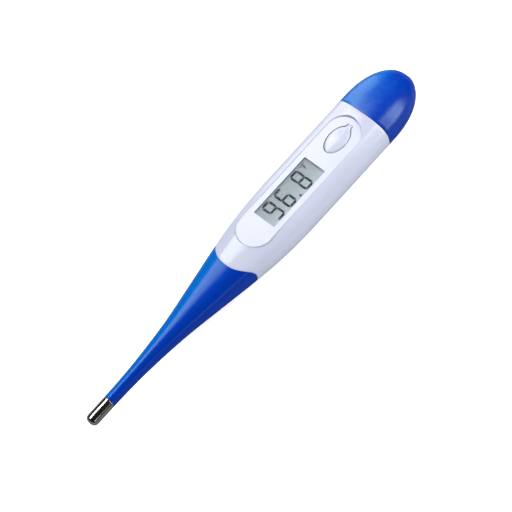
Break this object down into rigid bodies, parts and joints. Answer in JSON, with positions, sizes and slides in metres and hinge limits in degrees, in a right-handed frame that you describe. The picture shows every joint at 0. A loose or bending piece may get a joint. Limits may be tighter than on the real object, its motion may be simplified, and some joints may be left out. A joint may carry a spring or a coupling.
{
  "type": "digital thermometer",
  "caption": "Handheld digital clinical thermometer with a flexible probe, steel tip, small display, hinged button and pull-off battery cover.",
  "frame": {"origin": "on the surface the thermometer lies on, under the middle of its bounding box", "axes": "+X from the steel tip to the battery cover along the long axis, +Z out of the display, +Y towards the tops of the digits"},
  "size_m": [0.13, 0.0182, 0.0119],
  "materials": {
    "white_plastic": "satin",
    "blue_plastic": "gloss",
    "blue_rubber": "satin",
    "steel": "polished",
    "clear_plastic": "gloss",
    "display_glass": "satin",
    "mirror_film": "satin",
    "chassis_plastic": "matt",
    "circuit_board": "satin",
    "dark_rubber": "matt",
    "black_plastic": "satin",
    "ceramic": "matt",
    "brass": "satin",
    "spring_metal": "satin",
    "lead_insulation": "satin"
  },
  "bodies": {
    "housing": {"body_housing": "white_plastic", "front_panel": "white_plastic", "display_window": "clear_plastic", "flex_probe_root": "blue_rubber", "sensor_lead_root": "lead_insulation"},
    "button": {"power_button": "white_plastic"},
    "probe_link_1": {"flex_probe_link_1": "blue_rubber", "sensor_lead_link_1": "lead_insulation"},
    "probe_link_2": {"flex_probe_link_2": "blue_rubber", "sensor_lead_link_2": "lead_insulation"},
    "probe_link_3": {"flex_probe_link_3": "blue_rubber", "sensor_lead_link_3": "lead_insulation"},
    "probe_tip": {"flex_probe_tip": "blue_rubber", "steel_tip": "steel", "thermistor_bead": "black_plastic", "tip_adhesive": "ceramic", "sensor_lead_tip": "lead_insulation"},
    "chassis": {"inner_chassis": "chassis_plastic", "circuit_board": "circuit_board", "board_screw_front": "steel", "board_screw_rear": "steel", "lcd_front_glass": "display_glass", "lcd_rear_glass": "display_glass", "lcd_reflector": "mirror_film", "lcd_frame": "chassis_plastic", "zebra_connector_left": "dark_rubber", "zebra_connector_right": "dark_rubber", "controller_epoxy_blob": "black_plastic", "chip_resistor": "ceramic", "chip_capacitor": "black_plastic", "switch_housing": "black_plastic", "buzzer_brass_disc": "brass", "buzzer_ceramic_disc": "ceramic", "battery_cell": "spring_metal", "battery_contact_lower": "spring_metal", "battery_contact_upper": "spring_metal", "sensor_lead_board_end": "lead_insulation"},
    "switch": {"switch_plunger": "white_plastic"},
    "cover": {"battery_cover": "blue_plastic", "cover_seal_ring": "dark_rubber"}
  },
  "joints": [
    {"name": "button_press", "type": "hinge", "parent": "housing", "child": "button", "pos_m": [0.042, 0, 0.0111], "axis": [0, -1, 0], "range_deg": [0, 2.5], "stiffness_Nm_per_rad": 0.15},
    {"name": "switch_press", "type": "slide", "parent": "chassis", "child": "switch", "axis": [0, 0, -1], "range_m": [0, 0.00038]},
    {"name": "cover_pull", "type": "slide", "parent": "housing", "child": "cover", "axis": [1, 0, 0], "range_m": [0, 0.024]},
    {"name": "chassis_slide", "type": "slide", "parent": "housing", "child": "chassis", "axis": [1, 0, 0], "range_m": [0, 0.003]},
    {"name": "probe_bend_up", "type": "hinge", "parent": "housing", "child": "probe_link_1", "pos_m": [-0.033, 0, 0.0058], "axis": [0, 1, 0], "range_deg": [-20, 20], "stiffness_Nm_per_rad": 0.06},
    {"name": "probe_bend_side", "type": "hinge", "parent": "probe_link_1", "child": "probe_link_2", "pos_m": [-0.0385, 0, 0.0058], "axis": [0, 0, 1], "range_deg": [-20, 20], "stiffness_Nm_per_rad": 0.06},
    {"name": "probe_bend_up_far", "type": "hinge", "parent": "probe_link_2", "child": "probe_link_3", "pos_m": [-0.044, 0, 0.0058], "axis": [0, 1, 0], "range_deg": [-20, 20]},
    {"name": "probe_bend_side_far", "type": "hinge", "parent": "probe_link_3", "child": "probe_tip", "pos_m": [-0.0495, 0, 0.0058], "axis": [0, 0, 1], "range_deg": [-20, 20]}
  ],
  "couplings": [
    {"joint": "switch_press", "follows": "button_press", "m_per_rad": 0.0083},
    {"joint": "chassis_slide", "follows": "cover_pull", "ratio": 0.125},
    {"joint": "probe_bend_up_far", "follows": "probe_bend_up", "ratio": 1},
    {"joint": "probe_bend_side_far", "follows": "probe_bend_side", "ratio": 1}
  ]
}
